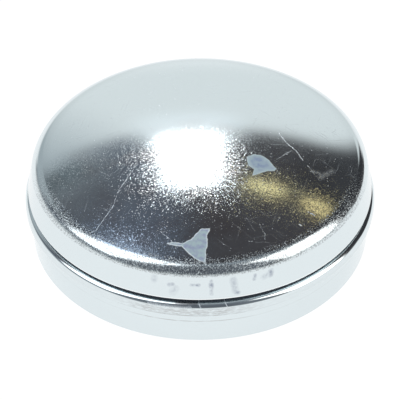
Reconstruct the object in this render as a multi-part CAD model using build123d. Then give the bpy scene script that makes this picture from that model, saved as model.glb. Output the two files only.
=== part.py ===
from build123d import *
import os
from math import asin, cos, degrees, radians, sin, tan

# Hub grease cap, in millimetres, deep-drawn from one blank of steel sheet.
# The origin is the centre of the open rim and +Z runs up the axis to the crown.

# The blank
sheet = 1.2

# Press-fit skirt, which is knocked into the hub's bore
skirt_diameter = 76.0
skirt_height = 8.4
lead_in_height = 0.4
lead_in_depth = 0.25

# Bead: the sheet folded out and back on itself, which stops the cap at the hub's end face
bead_reach = 1.75
fold_gap = 1.1
fold_mouth_radius = 1.1
seat_pinch_radius = 0.2
bead_seat_radius = 1.1
bead_top_radius = 1.4

# Groove rolled in between the bead and the lip, with a full round bottom
groove_height = 1.05
groove_depth = 1.4

# Upper wall, which flares downwards to a crisp lip
lip_reach = 1.17
lip_radius = 0.25
lip_inner_radius = 0.28
neck_radius = 0.7
wall_height = 5.65
wall_taper = 8.15

# Crown: a shallow spherical dome on a tight rolled corner
corner_radius = 3.65
crown_radius = 138.0

# The least flat that is left on a straight between its bends
least_flat = 0.02

# Radii and heights of the outside, up the section
skirt_r = skirt_diameter / 2
bead_r = skirt_r + bead_reach
lip_r = skirt_r + lip_reach
groove_r = lip_r - groove_depth
bead_top_z = skirt_height + 2 * sheet + fold_gap
lip_z = bead_top_z + groove_height
wall_top_z = lip_z + wall_height
wall_top_r = lip_r - wall_height * tan(radians(wall_taper))

# Centres of the two full rounds: the groove's bottom outside, the fold's end inside
groove_round = groove_height / 2
groove_centre = (groove_r + groove_round, bead_top_z + groove_round)
fold_round = fold_gap / 2
fold_centre = (bead_r - sheet - fold_round, skirt_height + sheet + fold_round)


def corner_centre():
    """The centre of the rolled corner: its arc leaves the top of the wall as a tangent."""
    r = wall_top_r - corner_radius * cos(radians(wall_taper))
    z = wall_top_z - corner_radius * sin(radians(wall_taper))
    return r, z


def crown_join_angle():
    """The angle from the axis, at the dome's centre, at which the dome meets the corner."""
    r, _ = corner_centre()
    return degrees(asin(r / (crown_radius - corner_radius)))


def crown_centre_z():
    """The height of the dome's centre, far below the rim."""
    _, z = corner_centre()
    return z - (crown_radius - corner_radius) * cos(radians(crown_join_angle()))


def half_angle(before, corner, after):
    """Half the angle between the two straights that meet at a corner."""
    return radians((before - corner).get_angle(after - corner) / 2)


def bent_line(*corners):
    """Straights through corners of radius, height and bend radius. A bend is cut back where a
    straight has no room for the bends at its two ends."""
    points = [Vector(r, z) for r, z, _ in corners]
    bends = [bend for _, _, bend in corners[1:-1]]
    triples = zip(points, points[1:], points[2:])
    runs = [0, *(bend / tan(half_angle(*three)) for bend, three in zip(bends, triples)), 0]
    rooms = [(b - a).length - least_flat for a, b in zip(points, points[1:])]
    fits = [min(1, room / (a + b)) for room, a, b in zip(rooms, runs, runs[1:])]
    FilletPolyline(points, radius=[bend * min(a, b) for bend, a, b in zip(bends, fits, fits[1:])])


def rim():
    """The open edge, with a lead-in for the bore on its outer corner."""
    Polyline((skirt_r - sheet, 0), (skirt_r - lead_in_depth, 0), (skirt_r, lead_in_height))


def outer_band():
    """The outside from the lead-in up to the top of the wall."""
    groove_centre_r, _ = groove_centre
    bent_line(
        (skirt_r, lead_in_height, 0),
        (skirt_r, skirt_height, seat_pinch_radius),
        (bead_r, skirt_height, bead_seat_radius),
        (bead_r, bead_top_z, bead_top_radius),
        (groove_centre_r, bead_top_z, 0),
    )
    CenterArc(groove_centre, groove_round, 90, 180)
    bent_line(
        (groove_centre_r, lip_z, 0),
        (lip_r, lip_z, lip_radius),
        (wall_top_r, wall_top_z, 0),
    )


def inner_band():
    """The inside, one sheet in from the outside, from the top of the wall down to the rim."""
    taper = radians(wall_taper)
    corner_r, corner_z = corner_centre()
    top_r = corner_r + (corner_radius - sheet) * cos(taper)
    top_z = corner_z + (corner_radius - sheet) * sin(taper)
    step_z = lip_z + sheet
    step_r = top_r + (top_z - step_z) * tan(taper)
    neck_r = groove_r - sheet
    inner_r = skirt_r - sheet
    fold_centre_r, fold_centre_z = fold_centre
    bent_line(
        (top_r, top_z, 0),
        (step_r, step_z, lip_inner_radius),
        (neck_r, step_z, neck_radius),
        (neck_r, fold_centre_z + fold_round, fold_mouth_radius),
        (fold_centre_r, fold_centre_z + fold_round, 0),
    )
    CenterArc(fold_centre, fold_round, -90, 180)
    bent_line(
        (fold_centre_r, fold_centre_z - fold_round, 0),
        (inner_r, fold_centre_z - fold_round, fold_mouth_radius),
        (inner_r, 0, 0),
    )


def crown_line(depth):
    """Corner and dome as one smooth line, at a depth in the sheet: 0 is the outside."""
    join = crown_join_angle()
    CenterArc(corner_centre(), corner_radius - depth, wall_taper, 90 - join - wall_taper)
    CenterArc((0, crown_centre_z()), crown_radius - depth, 90 - join, join)


def grease_cap():
    """The pressed sheet's section, turned once round the axis."""
    apex_z = crown_centre_z() + crown_radius
    with BuildPart() as cap:
        with BuildSketch(Plane.XZ):
            with BuildLine():
                rim()
                outer_band()
                crown_line(0)
                Line((0, apex_z), (0, apex_z - sheet))
                crown_line(sheet)
                inner_band()
            make_face()
        revolve(axis=Axis.Z)
    return cap.part


os.makedirs("parts", exist_ok=True)
export_step(grease_cap(), "parts/grease_cap.step")
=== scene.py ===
import math

import bmesh
import bpy
from mathutils import Matrix, Vector


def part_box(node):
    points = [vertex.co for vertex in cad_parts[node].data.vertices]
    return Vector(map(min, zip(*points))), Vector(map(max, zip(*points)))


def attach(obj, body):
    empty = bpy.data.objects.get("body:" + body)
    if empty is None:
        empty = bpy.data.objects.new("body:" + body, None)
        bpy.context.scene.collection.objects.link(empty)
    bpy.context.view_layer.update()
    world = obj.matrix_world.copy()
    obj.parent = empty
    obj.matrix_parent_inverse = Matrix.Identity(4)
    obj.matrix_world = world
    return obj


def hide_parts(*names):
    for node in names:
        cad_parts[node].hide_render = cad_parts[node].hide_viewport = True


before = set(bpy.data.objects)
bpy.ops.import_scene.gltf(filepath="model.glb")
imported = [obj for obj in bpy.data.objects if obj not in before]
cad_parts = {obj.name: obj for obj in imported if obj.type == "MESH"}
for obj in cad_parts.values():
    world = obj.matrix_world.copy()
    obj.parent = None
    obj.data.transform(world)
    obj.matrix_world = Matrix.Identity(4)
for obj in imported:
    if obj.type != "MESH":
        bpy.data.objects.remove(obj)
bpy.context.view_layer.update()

MM = 0.001

# The pressed sheet's section in millimetres. The bead's radius and the apex come from the frame.
SHEET = 1.2
SKIRT_HEIGHT = 8.4
LEAD_IN_HEIGHT = 0.4
LEAD_IN_DEPTH = 0.25
RIM_INNER_ROUND = 0.15
BEAD_REACH = 1.75
FOLD_GAP = 1.1
FOLD_MOUTH_RADIUS = 1.1
SEAT_PINCH_RADIUS = 0.2
BEAD_SEAT_RADIUS = 1.1
BEAD_TOP_RADIUS = 1.4
GROOVE_HEIGHT = 1.05
GROOVE_DEPTH = 1.4
LIP_REACH = 1.17
LIP_RADIUS = 0.25
LIP_INNER_RADIUS = 0.28
NECK_RADIUS = 0.7
WALL_HEIGHT = 5.65
WALL_TAPER = math.radians(8.15)
CORNER_RADIUS = 3.65
CROWN_RADIUS = 138.0

# Radii and heights that follow, up the outside of the section
cap_low, cap_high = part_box("grease_cap")
BEAD_R = (cap_high.x - cap_low.x) / 2 / MM
APEX_Z = cap_high.z / MM
SKIRT_R = BEAD_R - BEAD_REACH
LIP_R = SKIRT_R + LIP_REACH
BEAD_TOP_Z = SKIRT_HEIGHT + 2 * SHEET + FOLD_GAP
LIP_Z = BEAD_TOP_Z + GROOVE_HEIGHT
WALL_TOP_Z = LIP_Z + WALL_HEIGHT
WALL_TOP_R = LIP_R - WALL_HEIGHT * math.tan(WALL_TAPER)
CORNER_R = WALL_TOP_R - CORNER_RADIUS * math.cos(WALL_TAPER)
CORNER_Z = WALL_TOP_Z - CORNER_RADIUS * math.sin(WALL_TAPER)
CROWN_Z = APEX_Z - CROWN_RADIUS
CROWN_ANGLE = math.asin(CORNER_R / (CROWN_RADIUS - CORNER_RADIUS))

# Steps round the whole turn and along the arcs, fine enough for a mirror finish
TURN_STEPS = 288
CROWN_STEPS = 44
CORNER_STEPS = 26
ROUND_STEPS = 10
SHARP_EDGE = math.radians(35)

# The camera, as fitted to the photo: a long lens, a little rolled
CAMERA_ELEVATION = 40.17
CAMERA_ROLL = 0.35
CAMERA_DISTANCE = 2.28
CAMERA_LENS = 900
AIM_HEIGHT = 0.00946


def linear(code):
    """A hex colour, as written for the screen, as linear red, green, blue and alpha."""
    parts = [int(code[i:i + 2], 16) / 255 for i in (1, 3, 5)]
    return [c / 12.92 if c <= 0.04045 else ((c + 0.055) / 1.055) ** 2.4 for c in parts] + [1]


def add(tree, kind, wires, **settings):
    """Adds a node with its settings, sets or links its inputs, and returns its outputs. An input
    goes by its name, or by its number where the node has several of that name."""
    node = tree.nodes.new(kind)
    for name, value in settings.items():
        setattr(node, name, value)
    for place, value in wires.items():
        if isinstance(value, bpy.types.NodeSocket):
            tree.links.new(value, node.inputs[place])
        else:
            node.inputs[place].default_value = value
    return node.outputs


# The cap's shape

def straight(bm, end, r, z):
    """Carries the section on to a new corner, at a radius and height in millimetres."""
    corner = bmesh.ops.extrude_vert_indiv(bm, verts=[end])["verts"][0]
    corner.co = Vector((r, 0, z)) * MM
    return corner


def arc(bm, end, centre, angle, steps):
    """Carries the section on round a centre. A positive angle turns from up to outwards."""
    middle = Vector((centre[0], 0, centre[1])) * MM
    turned = bmesh.ops.spin(bm, geom=[end], cent=middle, axis=(0, 1, 0), angle=angle, steps=steps)
    return turned["geom_last"][0]


def round_off(bm, corner, radius):
    """Rounds a corner of the section with a true arc that meets both straights."""
    before, after = (edge.other_vert(corner).co - corner.co for edge in corner.link_edges)
    reach = radius * MM / math.tan(before.angle(after) / 2)
    bmesh.ops.bevel(
        bm, geom=[corner], offset=reach, offset_type="OFFSET", segments=ROUND_STEPS, profile=0.5,
        affect="VERTICES", material=-1)


def outside(bm, end):
    """The section's outside, from the apex down to the rim. Returns its end and its bends."""
    groove_round = GROOVE_HEIGHT / 2
    groove_r = LIP_R - GROOVE_DEPTH + groove_round
    corner_turn = math.pi / 2 - WALL_TAPER - CROWN_ANGLE
    end = arc(bm, end, (0, CROWN_Z), CROWN_ANGLE, CROWN_STEPS)
    end = arc(bm, end, (CORNER_R, CORNER_Z), corner_turn, CORNER_STEPS)
    lip = straight(bm, end, LIP_R, LIP_Z)
    end = straight(bm, lip, groove_r, LIP_Z)
    end = arc(bm, end, (groove_r, LIP_Z - groove_round), -math.pi, 2 * ROUND_STEPS)
    bead_top = straight(bm, end, BEAD_R, BEAD_TOP_Z)
    bead_seat = straight(bm, bead_top, BEAD_R, SKIRT_HEIGHT)
    pinch = straight(bm, bead_seat, SKIRT_R, SKIRT_HEIGHT)
    end = straight(bm, pinch, SKIRT_R, LEAD_IN_HEIGHT)
    end = straight(bm, end, SKIRT_R - LEAD_IN_DEPTH, 0)
    bends = {
        lip: LIP_RADIUS, bead_top: BEAD_TOP_RADIUS, bead_seat: BEAD_SEAT_RADIUS,
        pinch: SEAT_PINCH_RADIUS,
    }
    return end, bends


def inside(bm, end):
    """The section's inside, one sheet in, from the rim back up to the axis. Returns its bends."""
    inner_r = SKIRT_R - SHEET
    neck_r = LIP_R - GROOVE_DEPTH - SHEET
    fold_round = FOLD_GAP / 2
    fold_r = BEAD_R - SHEET - fold_round
    fold_foot_z = SKIRT_HEIGHT + SHEET
    fold_top_z = fold_foot_z + FOLD_GAP
    top_r = CORNER_R + (CORNER_RADIUS - SHEET) * math.cos(WALL_TAPER)
    top_z = CORNER_Z + (CORNER_RADIUS - SHEET) * math.sin(WALL_TAPER)
    step_z = LIP_Z + SHEET
    corner_turn = math.pi / 2 - WALL_TAPER - CROWN_ANGLE
    rim = straight(bm, end, inner_r, 0)
    mouth_foot = straight(bm, rim, inner_r, fold_foot_z)
    end = straight(bm, mouth_foot, fold_r, fold_foot_z)
    end = arc(bm, end, (fold_r, fold_foot_z + fold_round), -math.pi, 2 * ROUND_STEPS)
    mouth_top = straight(bm, end, neck_r, fold_top_z)
    neck = straight(bm, mouth_top, neck_r, step_z)
    step = straight(bm, neck, top_r + (top_z - step_z) * math.tan(WALL_TAPER), step_z)
    end = straight(bm, step, top_r, top_z)
    end = arc(bm, end, (CORNER_R, CORNER_Z), -corner_turn, CORNER_STEPS)
    arc(bm, end, (0, CROWN_Z), -CROWN_ANGLE, CROWN_STEPS)
    return {
        rim: RIM_INNER_ROUND, mouth_foot: FOLD_MOUTH_RADIUS, mouth_top: FOLD_MOUTH_RADIUS,
        neck: NECK_RADIUS, step: LIP_INNER_RADIUS,
    }


def pressed_cap():
    """The cap as one closed sheet: its section turned once round the axis."""
    bm = bmesh.new()
    apex = bm.verts.new(Vector((0, 0, APEX_Z)) * MM)
    end, bends = outside(bm, apex)
    bends.update(inside(bm, end))
    for corner, radius in bends.items():
        round_off(bm, corner, radius)
    bmesh.ops.spin(
        bm, geom=bm.verts[:] + bm.edges[:], cent=(0, 0, 0), axis=(0, 0, 1), angle=2 * math.pi,
        steps=TURN_STEPS, use_merge=True)
    bmesh.ops.remove_doubles(bm, verts=bm.verts, dist=0.001 * MM)
    bmesh.ops.recalc_face_normals(bm, faces=bm.faces)
    for face in bm.faces:
        face.smooth = True
    for edge in bm.edges:
        edge.smooth = edge.calc_face_angle(0) < SHARP_EDGE
    mesh = bpy.data.meshes.new("pressed_cap")
    bm.to_mesh(mesh)
    bm.free()
    cap = bpy.data.objects.new("pressed_cap", mesh)
    bpy.context.scene.collection.objects.link(cap)
    cap.modifiers.new("flats keep their own normals", "WEIGHTED_NORMAL").keep_sharp = True
    return cap


# The zinc's finish. Places on the crown are x and y in millimetres, seen from above, with the
# front towards -Y. Places on the bands are the way round from the front, and the height.

# The plate's own colours and what lies on it, with painted light among them: a painted highlight on the
# lip, painted shade in the groove and a painted shade line under the bead
CROWN_ZINC = "#e6eff2"
DRAWN_ZINC = "#dde6e9"
CLOUDED_ZINC = "#dbdedf"
PITTED_ZINC = "#77787c"
# A painted highlight along the lip's edge
LIP_HIGHLIGHT = "#fbfeff"
# A grey for scuffs on the bead, and for a painted shade line under the bead
SCUFF_AND_SHADE_GREY = "#a9aaab"
SCRATCHED_ZINC = "#e9f2f9"
# Painted shade in the groove under the lip, with some grime
GROOVE_SHADE_AND_GRIME = "#3b3f46"
SMUDGE = "#717a92"
STAIN = "#7c7479"

# Two dull patches in the plate, each made of convex pieces that overlap
FRONT_PATCH = (
    ((-4.3, -31.1), (-2.2, -29.8), (1.6, -29.3), (1.7, -30.1), (1.6, -31.8), (1.1, -33.4),
     (-2.7, -33.6), (-4.0, -31.9)),
    ((-2.2, -29.8), (0.1, -26.9), (1.3, -27.2), (1.5, -28.7), (1.6, -30.8), (-1.5, -31.2)),
    ((0.1, -26.9), (2.2, -26.7), (2.0, -27.6), (1.5, -28.7), (0.9, -29.3), (-0.6, -28.0)),
    ((-7.6, -30.7), (-6.3, -30.4), (-3.2, -30.9), (-3.2, -31.8), (-5.4, -31.4)),
    ((-2.4, -32.2), (1.3, -32.2), (1.2, -36.2), (-0.5, -35.5), (-2.9, -33.4)),
)
BACK_PATCH = (
    ((10.8, -4.2), (12.3, -3.3), (14.0, -3.5), (15.7, -5.0), (16.6, -6.6), (16.9, -7.8),
     (15.1, -8.7), (12.5, -8.6), (11.1, -7.2), (10.7, -5.5)),
    ((14.5, -6.2), (16.4, -6.3), (17.3, -7.7), (16.8, -8.4), (14.8, -8.6)),
    ((12.6, -7.2), (14.9, -7.4), (15.1, -8.7), (13.4, -9.6), (11.9, -10.4), (12.3, -8.3)),
)

# The patches' films: the pieces, two mottled colours, the rim's colour and how far in it reaches
FILMS = (
    (FRONT_PATCH, "#a0abc5", "#b4c8cd", "#dde8ed", 0.34),
    (BACK_PATCH, "#93a3c0", "#a6bac8", "#b6c9cf", 1.3),
)

# Scratches, two smears and flecks on the crown: both ends, width and strength
SCRATCHES = (
    ((-15.0, -7.8), (-18.4, -14.1), 0.16, 0.7),
    ((-18.4, -14.1), (-19.5, -18.5), 0.16, 0.55),
    ((-19.5, -18.5), (-23.6, -25.4), 0.18, 0.8),
    ((18.0, 5.2), (19.6, 1.8), 0.2, 1.0),
    ((19.6, 1.8), (21.9, -0.8), 0.2, 1.0),
    ((21.9, -0.8), (23.4, -3.9), 0.18, 1.0),
    ((24.5, -5.4), (25.9, -7.9), 0.16, 0.6),
    ((25.9, -7.9), (27.3, -9.9), 0.12, 0.45),
    ((17.4, -4.4), (20.9, -0.8), 0.16, 0.5),
    ((16.0, 0.6), (19.8, 0.9), 0.14, 0.35),
    ((13.3, -25.0), (14.6, -27.8), 0.14, 0.55),
    ((14.6, -27.8), (14.5, -29.2), 0.14, 0.55),
    ((10.4, -23.3), (12.4, -27.2), 0.12, 0.4),
    ((-8.8, -27.4), (-6.4, -30.2), 0.14, 0.7),
    ((11.0, -30.0), (11.7, -30.0), 0.2, 0.7),
    ((12.4, -30.2), (15.5, -29.9), 0.13, 0.4),
    ((27.4, -8.6), (30.0, -6.1), 1.1, 0.3),
    ((25.4, -7.0), (27.6, -7.6), 0.9, 0.25),
    ((25.0, -20.4), (25.8, -20.7), 0.35, 1.0),
    ((24.3, -20.1), (24.5, -20.3), 0.3, 0.9),
    ((22.4, -24.0), (22.8, -24.3), 0.35, 1.0),
    ((-10.8, -19.4), (-10.3, -19.6), 0.3, 1.0),
)

# Smudges on the upper wall: both ends, width and strength
SMUDGES = (
    ((-10.4, 17.4), (-10.4, 18.2), 1.0, 0.3),
    ((-6.9, 16.7), (-6.3, 16.9), 0.7, 0.6),
    ((-6.1, 14.8), (-5.6, 15.9), 1.2, 0.25),
    ((-2.1, 17.0), (-0.9, 17.0), 0.5, 0.5),
    ((-0.8, 17.0), (-0.4, 17.0), 0.6, 0.8),
    ((2.4, 14.6), (2.4, 18.0), 0.6, 0.45),
    ((2.4, 16.6), (2.4, 17.2), 0.7, 0.9),
    ((7.3, 17.9), (7.7, 14.9), 1.1, 0.4),
    ((7.9, 14.4), (8.3, 14.3), 0.7, 0.7),
    ((12.1, 17.0), (12.3, 18.0), 0.6, 0.6),
    ((14.3, 17.0), (15.4, 17.4), 1.0, 0.3),
    ((16.0, 17.1), (16.2, 18.0), 0.9, 0.7),
)

# Two nicks and a long scuff on the bead's top, and a stain: both ends, width and strength
BEAD_NICKS = (
    ((0.0, 11.1), (-0.4, 11.9), 0.2, 0.8),
    ((5.8, 11.1), (5.3, 11.9), 0.2, 0.8),
    ((-11.5, 11.2), (-2.2, 11.15), 0.5, 0.6),
)
BEAD_STAINS = (
    ((-5.4, 11.75), (-0.9, 11.75), 0.35, 0.6),
)

# Hairlines from handling: length and width in millimetres, and headings in degrees
HAIRLINE_LENGTH = 7.0
HAIRLINE_WIDTH = 0.22
HAIRLINE_HEADINGS = (20, 75, 140)


def convex_piece(tree, at, corners):
    """The distance to a convex outline, below zero inside it. The corners run clockwise."""
    reach = None
    for (x0, y0), (x1, y1) in zip(corners, corners[1:] + corners[:1]):
        side = Vector((y0 - y1, x1 - x0, 0)).normalized()
        along = add(tree, "ShaderNodeVectorMath", {0: at, 1: side}, operation="DOT_PRODUCT")[1]
        past = add(tree, "ShaderNodeMath", {
            0: along, 1: side.dot(Vector((x0, y0, 0)))}, operation="SUBTRACT")[0]
        reach = past if reach is None else add(
            tree, "ShaderNodeMath", {0: reach, 1: past}, operation="MAXIMUM")[0]
    return reach


def patch_distance(tree, at, pieces):
    """The distance to the nearest of a patch's pieces, below zero inside one."""
    nearest = None
    for corners in pieces:
        reach = convex_piece(tree, at, corners)
        nearest = reach if nearest is None else add(
            tree, "ShaderNodeMath", {0: nearest, 1: reach}, operation="MINIMUM")[0]
    return nearest


def marks(tree, at, strokes, softness):
    """A mask of straight strokes, each as strong as it says, with edges that fade."""
    strongest = None
    for (x0, y0), (x1, y1), width, strength in strokes:
        start = Vector((x0, y0, 0))
        run = Vector((x1, y1, 0)) - start
        off = add(tree, "ShaderNodeVectorMath", {0: at, 1: start}, operation="SUBTRACT")[0]
        share = add(tree, "ShaderNodeVectorMath", {
            0: off, 1: run / run.length_squared}, operation="DOT_PRODUCT")[1]
        share = add(tree, "ShaderNodeClamp", {"Value": share})[0]
        foot = add(tree, "ShaderNodeVectorMath", {0: run, "Scale": share}, operation="SCALE")[0]
        gap = add(tree, "ShaderNodeVectorMath", {0: off, 1: foot}, operation="DISTANCE")[1]
        mask = add(tree, "ShaderNodeMapRange", {
            "Value": gap, "From Min": width / 2 * (1 - softness),
            "From Max": width / 2 * (1 + softness), "To Min": strength, "To Max": 0.0})[0]
        strongest = mask if strongest is None else add(
            tree, "ShaderNodeMath", {0: strongest, 1: mask}, operation="MAXIMUM")[0]
    return strongest


def band(tree, height, low, high, fade):
    """A mask of the heights from low to high, in millimetres, that fades out past them."""
    rise = add(tree, "ShaderNodeMapRange", {
        "Value": height, "From Min": low - fade, "From Max": low}, interpolation_type="SMOOTHSTEP")[0]
    fall = add(tree, "ShaderNodeMapRange", {
        "Value": height, "From Min": high, "From Max": high + fade, "To Min": 1.0, "To Max": 0.0},
        interpolation_type="SMOOTHSTEP")[0]
    return add(tree, "ShaderNodeMath", {0: rise, 1: fall}, operation="MULTIPLY")[0]


def blotches(tree, at, per_mm, detail, low, high, least=0.0, most=1.0):
    """A mask of uneven blotches, so many to the millimetre. Noise at low gives the least of it,
    and noise at high the most."""
    noise = add(tree, "ShaderNodeTexNoise", {"Vector": at, "Scale": per_mm, "Detail": detail})["Fac"]
    return add(tree, "ShaderNodeMapRange", {
        "Value": noise, "From Min": low, "From Max": high, "To Min": least, "To Max": most})[0]


def grain(tree, at, zone):
    """The plate's grain in cells 0.15 mm across, as far as the zone goes. Most facets lean about
    half a degree, and the steepest about four. Returns their normal and their steepness."""
    cell = add(tree, "ShaderNodeTexVoronoi", {"Vector": at, "Scale": 7.0})["Color"]
    lean = add(tree, "ShaderNodeVectorMath", {0: cell, 1: (0.5, 0.5, 0.5)}, operation="SUBTRACT")[0]
    pick = add(tree, "ShaderNodeTexVoronoi", {"Vector": at, "Scale": 5.3})["Color"]
    pick = add(tree, "ShaderNodeSeparateXYZ", {0: pick})["X"]
    least = blotches(tree, at, 0.25, 3.0, 0.35, 0.65, least=0.6, most=0.3)
    steep = add(tree, "ShaderNodeMapRange", {"Value": pick, "From Min": least, "From Max": 1.0})[0]
    slope = add(tree, "ShaderNodeMath", {0: steep, 1: 0.15, 2: 0.025}, operation="MULTIPLY_ADD")[0]
    slope = add(tree, "ShaderNodeMath", {0: slope, 1: zone}, operation="MULTIPLY")[0]
    lean = add(tree, "ShaderNodeVectorMath", {0: lean, "Scale": slope}, operation="SCALE")[0]
    level = add(tree, "ShaderNodeNewGeometry", {})["Normal"]
    facet = add(tree, "ShaderNodeVectorMath", {0: level, 1: lean}, operation="ADD")[0]
    return add(tree, "ShaderNodeVectorMath", {0: facet}, operation="NORMALIZE")[0], steep


def hairlines(tree, at):
    """A mask of faint scratches from handling, in a few directions. The pattern is stretched so
    far up the cap that it doesn't change with the height."""
    faint = None
    for heading in HAIRLINE_HEADINGS:
        along = add(tree, "ShaderNodeMapping", {
            "Vector": at, "Rotation": (0, 0, math.radians(heading)),
            "Scale": (HAIRLINE_LENGTH, HAIRLINE_WIDTH, 1000.0)}, vector_type="TEXTURE")[0]
        streak = blotches(tree, along, 1.0, 0.0, 0.74, 0.86, most=0.35)
        faint = streak if faint is None else add(
            tree, "ShaderNodeMath", {0: faint, 1: streak}, operation="MAXIMUM")[0]
    return faint


def dust(tree, at):
    """A mask of light flecks, each up to a third of a millimetre wide."""
    cell = add(tree, "ShaderNodeTexVoronoi", {"Vector": at, "Scale": 0.55}, voronoi_dimensions="2D")
    size = add(tree, "ShaderNodeSeparateXYZ", {0: cell["Color"]})["X"]
    reach = add(tree, "ShaderNodeMapRange", {"Value": size, "From Min": 0.3, "To Max": 0.1})[0]
    return add(tree, "ShaderNodeMapRange", {
        "Value": cell["Distance"], "From Max": reach, "To Min": 1.0, "To Max": 0.0})[0]


def scratched(tree, at, worn, unrolled, chafe, crown):
    """A mask of all that cuts the plate: scratches, hairlines and flecks on the crown, and the
    nicks on the bead."""
    from_above = add(tree, "ShaderNodeVectorMath", {0: worn, 1: (1, 1, 0)}, operation="MULTIPLY")[0]
    cut = marks(tree, from_above, SCRATCHES, 0.8)
    cut = add(tree, "ShaderNodeMath", {0: cut, 1: chafe}, operation="MULTIPLY")[0]
    for mask in (hairlines(tree, worn), dust(tree, at)):
        cut = add(tree, "ShaderNodeMath", {0: cut, 1: mask}, operation="MAXIMUM")[0]
    cut = add(tree, "ShaderNodeMath", {0: cut, 1: crown}, operation="MULTIPLY")[0]
    nick = marks(tree, unrolled, BEAD_NICKS, 0.6)
    return add(tree, "ShaderNodeMath", {0: cut, 1: nick}, operation="MAXIMUM")[0]


def scuffs_and_shade_line(tree, unrolled, height, way):
    """A mask of grey streaks rubbed into the bead's face, left of the front, and of fine grey
    lines round the bead, under it and on the skirt. The line where the bead meets the skirt is
    painted shade."""
    stretched = add(tree, "ShaderNodeVectorMath", {0: unrolled, 1: (0.7, 2.2, 1.0)},
                    operation="MULTIPLY")[0]
    rub = add(tree, "ShaderNodeTexNoise", {
        "Vector": stretched, "Scale": 1.0, "Detail": 5.0, "Distortion": 0.4})["Fac"]
    rub = add(tree, "ShaderNodeMapRange", {
        "Value": rub, "From Min": 0.38, "From Max": 0.7, "To Max": 0.7})[0]
    rub = add(tree, "ShaderNodeMath", {
        0: rub, 1: band(tree, height, 8.6, 10.7, 0.4)}, operation="MULTIPLY")[0]
    broken = blotches(tree, unrolled, 0.35, 3.0, 0.3, 0.58, most=0.7)
    # The line at 7.3 mm, where the bead meets the skirt, is painted shade
    for line_height in (9.85, 7.3, 5.7):
        line = band(tree, height, line_height, line_height + 0.1, 0.12)
        line = add(tree, "ShaderNodeMath", {0: line, 1: broken}, operation="MULTIPLY")[0]
        rub = add(tree, "ShaderNodeMath", {0: rub, 1: line}, operation="MAXIMUM")[0]
    aside = add(tree, "ShaderNodeMath", {0: way, 1: 3.0}, operation="ADD")[0]
    aside = add(tree, "ShaderNodeMath", {0: aside}, operation="ABSOLUTE")[0]
    near = add(tree, "ShaderNodeMapRange", {
        "Value": aside, "From Min": 8.0, "From Max": 17.0, "To Min": 1.0, "To Max": 0.15})[0]
    return add(tree, "ShaderNodeMath", {0: rub, 1: near}, operation="MULTIPLY")[0]


def unroll(tree, axes, shift):
    """The bands laid flat: the way round from the front, and the place that this gives with the
    height, moved by the shift."""
    ahead = add(tree, "ShaderNodeMath", {0: axes["Y"], 1: -1.0}, operation="MULTIPLY")[0]
    turn = add(tree, "ShaderNodeMath", {0: axes["X"], 1: ahead}, operation="ARCTAN2")[0]
    way = add(tree, "ShaderNodeMath", {0: turn, 1: SKIRT_R}, operation="MULTIPLY")[0]
    flat = add(tree, "ShaderNodeCombineXYZ", {"X": way, "Y": axes["Z"]})[0]
    return way, add(tree, "ShaderNodeVectorMath", {
        0: shift, 1: (0.5, 0.3, 0.0), 2: flat}, operation="MULTIPLY_ADD")[0]


def worn_zones(tree, axes, crown):
    """Masks of the crown and of the rolled corner where the sheet is grainy. Both leave out the
    back, which is smooth, and the crown's grain is shallower on the right."""
    aside = add(tree, "ShaderNodeMath", {0: axes["X"]}, operation="ABSOLUTE")[0]
    back = add(tree, "ShaderNodeMath", {0: aside, 1: 0.3, 2: axes["Y"]}, operation="MULTIPLY_ADD")[0]
    depth = add(tree, "ShaderNodeMapRange", {
        "Value": axes["X"], "From Min": 4.0, "From Max": 18.0, "To Min": 1.0, "To Max": 0.6})[0]
    depth = add(tree, "ShaderNodeMath", {0: depth, 1: crown}, operation="MULTIPLY")[0]
    worn_crown = add(tree, "ShaderNodeMapRange", {
        "Value": back, "From Min": 10.5, "From Max": 1.5, "To Max": depth})[0]
    ahead = add(tree, "ShaderNodeMapRange", {
        "Value": axes["Y"], "From Min": -2.0, "From Max": -14.0})[0]
    corner = band(tree, axes["Z"], 19.2, 21.6, 0.4)
    worn_corner = add(tree, "ShaderNodeMath", {0: corner, 1: ahead}, operation="MULTIPLY")[0]
    return worn_crown, worn_corner


def roughness(tree, worn, steep, worn_corner):
    """The plate's roughness. The stretched sheet on the corner has matt facets and glints."""
    matt = add(tree, "ShaderNodeMath", {0: steep, 1: worn_corner}, operation="MULTIPLY")[0]
    rough = add(tree, "ShaderNodeMath", {0: matt, 1: 0.1, 2: 0.1}, operation="MULTIPLY_ADD")[0]
    glint = blotches(tree, worn, 3.8, 1.0, 0.54, 0.66, most=0.5)
    return add(tree, "ShaderNodeMath", {
        0: glint, 1: worn_corner, 2: rough}, operation="MULTIPLY_ADD")[0]


def dull_films(tree, at, worn, tone):
    """Lays a matt blue-grey film on the two dull patches, mottled, with a paler rim. Returns the
    tone with it, and its mask."""
    from_above = add(tree, "ShaderNodeVectorMath", {0: worn, 1: (1, 1, 0)}, operation="MULTIPLY")[0]
    mottle = blotches(tree, at, 0.8, 4.0, 0.38, 0.56)
    dull = 0.0
    for pieces, violet, teal, edge, reach in FILMS:
        distance = patch_distance(tree, from_above, pieces)
        film = add(tree, "ShaderNodeMapRange", {
            "Value": distance, "From Min": -0.08, "From Max": 0.08, "To Min": 1.0, "To Max": 0.0})[0]
        rim = add(tree, "ShaderNodeMapRange", {
            "Value": distance, "From Min": -reach, "From Max": -0.1}, interpolation_type="SMOOTHSTEP")[0]
        body = add(tree, "ShaderNodeMix", {
            "Factor": mottle, 6: linear(violet), 7: linear(teal)}, data_type="RGBA")[2]
        body = add(tree, "ShaderNodeMix", {
            "Factor": rim, 6: body, 7: linear(edge)}, data_type="RGBA")[2]
        tone = add(tree, "ShaderNodeMix", {"Factor": film, 6: tone, 7: body}, data_type="RGBA")[2]
        dull = add(tree, "ShaderNodeMath", {0: dull, 1: film}, operation="MAXIMUM")[0]
    return tone, dull


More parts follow.
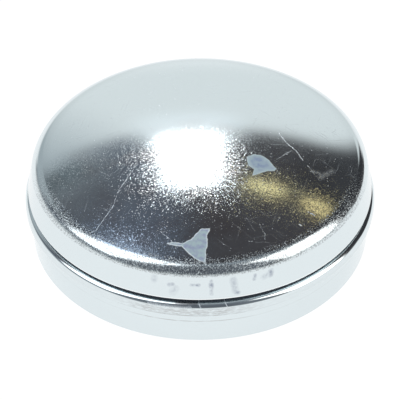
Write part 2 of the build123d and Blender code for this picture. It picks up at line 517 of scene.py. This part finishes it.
def zinc_plate():
    """Bright zinc plate with a clear blue passivate, on pressed steel. It is a soft mirror, and
    its grain breaks up the edge of every bright reflection."""
    material = bpy.data.materials.new("bright_zinc_plate_blue_passivate")
    material.use_nodes = True
    tree = material.node_tree
    tree.nodes.clear()

    # Places in millimetres. Those of drawn marks are moved a little, which makes them uneven.
    place = add(tree, "ShaderNodeTexCoord", {})["Object"]
    at = add(tree, "ShaderNodeVectorMath", {0: place, "Scale": 1 / MM}, operation="SCALE")[0]
    axes = add(tree, "ShaderNodeSeparateXYZ", {0: at})
    height = axes["Z"]
    wobble = add(tree, "ShaderNodeTexNoise", {
        "Vector": at, "Scale": 0.9, "Detail": 5.0, "Roughness": 0.65})["Color"]
    shift = add(tree, "ShaderNodeVectorMath", {0: wobble, 1: (0.5, 0.5, 0.5)}, operation="SUBTRACT")[0]
    worn = add(tree, "ShaderNodeVectorMath", {
        0: shift, 1: (0.8, 0.8, 0.8), 2: at}, operation="MULTIPLY_ADD")[0]
    way, unrolled = unroll(tree, axes, shift)

    # Zones of the sheet
    crown = add(tree, "ShaderNodeMapRange", {
        "Value": height, "From Min": 21.4, "From Max": 22.2}, interpolation_type="SMOOTHSTEP")[0]
    # The lip band carries a painted highlight
    lip = band(tree, height, LIP_Z + 0.05, LIP_Z + 0.3, 0.1)
    # The groove band carries painted shade, with some grime
    groove = band(tree, height, BEAD_TOP_Z + 0.08, LIP_Z - 0.04, 0.05)
    worn_crown, worn_corner = worn_zones(tree, axes, crown)
    zone = add(tree, "ShaderNodeMath", {0: worn_crown, 1: worn_corner}, operation="MAXIMUM")[0]
    facet, steep = grain(tree, at, zone)

    # Masks of what shows on it. Scratches and smudges are chafed away here and there.
    chafe = blotches(tree, at, 1.4, 3.0, 0.38, 0.56, least=0.45)
    cloud = blotches(tree, at, 0.13, 6.0, 0.45, 0.65, most=worn_crown)
    pits = blotches(tree, at, 3.2, 1.0, 0.45, 0.65, most=0.6)
    pits = add(tree, "ShaderNodeMath", {0: pits, 1: worn_corner}, operation="MULTIPLY")[0]
    smudge = marks(tree, unrolled, SMUDGES, 0.95)
    smudge = add(tree, "ShaderNodeMath", {0: smudge, 1: chafe}, operation="MULTIPLY")[0]
    stain = marks(tree, unrolled, BEAD_STAINS, 0.9)
    # Scuffs on the bead, with a painted shade line under it
    scuffed_and_shaded = scuffs_and_shade_line(tree, unrolled, height, way)
    scratch = scratched(tree, at, worn, unrolled, chafe, crown)

    # The colour, in layers that each lie over those before
    tone = add(tree, "ShaderNodeMix", {
        "Factor": crown, 6: linear(DRAWN_ZINC), 7: linear(CROWN_ZINC)}, data_type="RGBA")[2]
    # Of these layers, the lip's is a painted highlight, the groove's is painted shade with some grime,
    # and the scuff grey also paints a shade line under the bead
    for mask, code in (
            (cloud, CLOUDED_ZINC), (pits, PITTED_ZINC), (lip, LIP_HIGHLIGHT), (groove, GROOVE_SHADE_AND_GRIME),
            (smudge, SMUDGE), (stain, STAIN), (scuffed_and_shaded, SCUFF_AND_SHADE_GREY), (scratch, SCRATCHED_ZINC)):
        tone = add(tree, "ShaderNodeMix", {
            "Factor": mask, 6: tone, 7: linear(code)}, data_type="RGBA")[2]
    tone, dull = dull_films(tree, at, worn, tone)

    # Scratches and films are rougher than the plate, and less metallic
    rough = roughness(tree, worn, steep, worn_corner)
    rough = add(tree, "ShaderNodeMath", {0: scratch, 1: 0.4, 2: rough}, operation="MULTIPLY_ADD")[0]
    rough = add(tree, "ShaderNodeMath", {0: dull, 1: 0.45, 2: rough}, operation="MULTIPLY_ADD")[0]
    metal = add(tree, "ShaderNodeMath", {0: dull, 1: -0.75, 2: 1.0}, operation="MULTIPLY_ADD")[0]
    metal = add(tree, "ShaderNodeMath", {0: scratch, 1: -0.4, 2: metal}, operation="MULTIPLY_ADD")[0]
    surface = add(tree, "ShaderNodeBsdfPrincipled", {
        "Base Color": tone, "Metallic": metal, "Roughness": rough, "Normal": facet})
    add(tree, "ShaderNodeOutputMaterial", {"Surface": surface["BSDF"]})
    return material


# The studio: a room whose colour is the same all round, with panels painted on it

ROOM = "#454346"

# Each panel's azimuth, elevation, width, height and blur in degrees, colour and strength. Each
# lies over those before.
PANELS = {
    "left of the room": (-90, 46, 130, 86, 16, "#595f6b", 1.0),
    "left wall": (-46, 39, 44, 34, 12, "#5b5e64", 1.0),
    "left foot": (-110, 14, 90, 18, 10, "#858c93", 1.0),
    "left ceiling": (-104, 76, 22, 14, 10, "#a5acb4", 1.0),
    "right wall": (47, 32, 44, 40, 10, "#37373a", 1.0),
    "right ceiling": (112, 68, 44, 24, 14, "#70777e", 1.0),
    "front wall": (180, 38, 100, 60, 20, "#767b82", 1.0),
    "dark front": (180, 32, 40, 44, 14, "#676b72", 1.0),
    "front ceiling": (180, 78, 50, 12, 9, "#979ea5", 1.0),
    "backdrop": (-5, 10.5, 72, 51.5, 7, "#f0f4f4", 0.91),
    "dim left end of the backdrop": (-40, 25, 40, 34, 18, "#b0b8bc", 1.0),
    "foot of the backdrop": (-1.5, 2, 80, 16, 12, "#ffffff", 1.0),
    "dark end of the backdrop": (38, 36.5, 29, 16, 6, "#3c3c3f", 1.0),
    "low band on the left": (-90, 2, 110, 12, 8, "#f1f4f4", 0.8),
    "low band on the right": (98, 2, 60, 12, 8, "#f1f4f4", 0.85),
    "low band in front": (180, 2, 110, 12, 8, "#f1f4f4", 0.7),
    "grey spot over the backdrop": (-25, 40.5, 8, 5, 3, "#5a6469", 1.0),
    "glow over the backdrop": (-1.7, 35, 12, 9.5, 5, "#f1f6f8", 1.0),
    "near warm bar": (14.4, 50.2, 5.6, 2.4, 1.4, "#f6e7ab", 1.55),
    "far warm bar": (27, 50.2, 4.2, 2.4, 1.4, "#f2dfa0", 1.7),
    "left ceiling light": (-60, 67, 26, 10, 5, "#cfe0fb", 2.1),
    "left softbox": (-103, 53, 38, 56, 8, "#fbfdff", 2.4),
    "right softbox": (105, 35, 44, 54, 8, "#fffdfa", 2.4),
    "key softbox": (-1.7, 44.4, 7.3, 13.6, 2, "#ffffff", 5.0),
}

# The paper under the cap, in metres, with the gap that keeps it off the rim in millimetres
PAPER = "#f0f0f0"
PAPER_RADIUS = 3.0
PAPER_DROP = 0.05


def panel_light(tree, direction, azimuth, elevation, width, height, blur):
    """A mask of a flat lit panel seen from the cap. Its place and size are in degrees, with the
    azimuth counted from behind the cap towards +X, and its edge is blurred by so many."""
    facing = (math.radians(elevation), 0, -math.radians(azimuth))
    turned = add(tree, "ShaderNodeMapping", {"Vector": direction, "Rotation": facing},
                 vector_type="TEXTURE")[0]
    depth = add(tree, "ShaderNodeSeparateXYZ", {0: turned})["Y"]
    nearness = add(tree, "ShaderNodeMath", {0: 1.0, 1: depth}, operation="DIVIDE")[0]
    flat = add(tree, "ShaderNodeVectorMath", {0: turned, "Scale": nearness}, operation="SCALE")[0]
    off = add(tree, "ShaderNodeVectorMath", {0: flat}, operation="ABSOLUTE")[0]
    half = [math.tan(math.radians((size - blur) / 2)) for size in (width, height)]
    past = add(tree, "ShaderNodeVectorMath", {0: off, 1: (half[0], 1, half[1])},
               operation="SUBTRACT")[0]
    past = add(tree, "ShaderNodeVectorMath", {0: past, 1: (0, 0, 0)}, operation="MAXIMUM")[0]
    gap = add(tree, "ShaderNodeVectorMath", {0: past}, operation="LENGTH")[1]
    mask = add(tree, "ShaderNodeMapRange", {
        "Value": gap, "From Max": math.tan(math.radians(blur)), "To Min": 1.0, "To Max": 0.0},
        interpolation_type="SMOOTHSTEP")[0]
    ahead = add(tree, "ShaderNodeMath", {0: depth, 1: 0.02}, operation="GREATER_THAN")[0]
    return add(tree, "ShaderNodeMath", {0: mask, 1: ahead}, operation="MULTIPLY")[0]


def studio():
    """A dark room round the cap, with a pale backdrop and soft panels. The camera sees white."""
    world = bpy.data.worlds.new("studio")
    world.use_nodes = True
    bpy.context.scene.world = world
    tree = world.node_tree
    tree.nodes.clear()
    direction = add(tree, "ShaderNodeTexCoord", {})["Generated"]
    light = linear(ROOM)
    for azimuth, elevation, width, height, blur, colour, strength in PANELS.values():
        mask = panel_light(tree, direction, azimuth, elevation, width, height, blur)
        glow = [strength * c for c in linear(colour)[:3]] + [1]
        light = add(tree, "ShaderNodeMix", {
            "Factor": mask, 6: light, 7: glow}, data_type="RGBA")[2]
    rays = add(tree, "ShaderNodeLightPath", {})
    seen = add(tree, "ShaderNodeMix", {
        "Factor": rays["Is Camera Ray"], 6: light, 7: (1, 1, 1, 1)}, data_type="RGBA")[2]
    room = add(tree, "ShaderNodeBackground", {"Color": seen, "Strength": 1.0})
    add(tree, "ShaderNodeOutputWorld", {"Surface": room["Background"]})


def white_paper():
    """Matt white paper. The camera and the metal see most of it as plain white, and the rest
    holds the cap's shadow. It is clear from below."""
    material = bpy.data.materials.new("white_paper")
    material.use_nodes = True
    tree = material.node_tree
    tree.nodes.clear()
    paper = add(tree, "ShaderNodeBsdfDiffuse", {"Color": linear(PAPER)})["BSDF"]
    white = add(tree, "ShaderNodeEmission", {"Color": (1, 1, 1, 1), "Strength": 1.1})["Emission"]
    rays = add(tree, "ShaderNodeLightPath", {})
    direct = add(tree, "ShaderNodeMath", {
        0: rays["Is Camera Ray"], 1: rays["Is Glossy Ray"]}, operation="MAXIMUM")[0]
    share = add(tree, "ShaderNodeMath", {0: direct, 1: 0.85}, operation="MULTIPLY")[0]
    lit = add(tree, "ShaderNodeMixShader", {0: share, 1: paper, 2: white})[0]
    below = add(tree, "ShaderNodeNewGeometry", {})["Backfacing"]
    clear = add(tree, "ShaderNodeBsdfTransparent", {})["BSDF"]
    sheet = add(tree, "ShaderNodeMixShader", {0: below, 1: lit, 2: clear})[0]
    add(tree, "ShaderNodeOutputMaterial", {"Surface": sheet})
    return material


def paper_floor():
    """The round sheet of paper that the cap stands on."""
    bm = bmesh.new()
    bmesh.ops.create_circle(bm, cap_ends=True, segments=64, radius=PAPER_RADIUS)
    bmesh.ops.translate(bm, verts=bm.verts, vec=(0, 0, -PAPER_DROP * MM))
    mesh = bpy.data.meshes.new("paper_floor")
    bm.to_mesh(mesh)
    bm.free()
    mesh.materials.append(white_paper())
    floor = bpy.data.objects.new("paper_floor", mesh)
    bpy.context.scene.collection.objects.link(floor)


def camera():
    """The camera at the photo's angle, on a long lens."""
    data = bpy.data.cameras.new("camera")
    data.lens = CAMERA_LENS
    data.clip_start = 0.1
    data.clip_end = 20
    eye = bpy.data.objects.new("camera", data)
    bpy.context.scene.collection.objects.link(eye)
    elevation = math.radians(CAMERA_ELEVATION)
    back = Vector((0, -math.cos(elevation), math.sin(elevation)))
    turn = Matrix.Rotation(math.pi / 2 - elevation, 4, "X")
    roll = Matrix.Rotation(-math.radians(CAMERA_ROLL), 4, "Z")
    place = Matrix.Translation(Vector((0, 0, AIM_HEIGHT)) + back * CAMERA_DISTANCE)
    eye.matrix_world = place @ turn @ roll
    bpy.context.scene.camera = eye


cap = pressed_cap()
cap.data.materials.append(zinc_plate())
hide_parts("grease_cap")
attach(cap, "root")

studio()
paper_floor()
camera()
bpy.context.scene.view_settings.view_transform = "Standard"
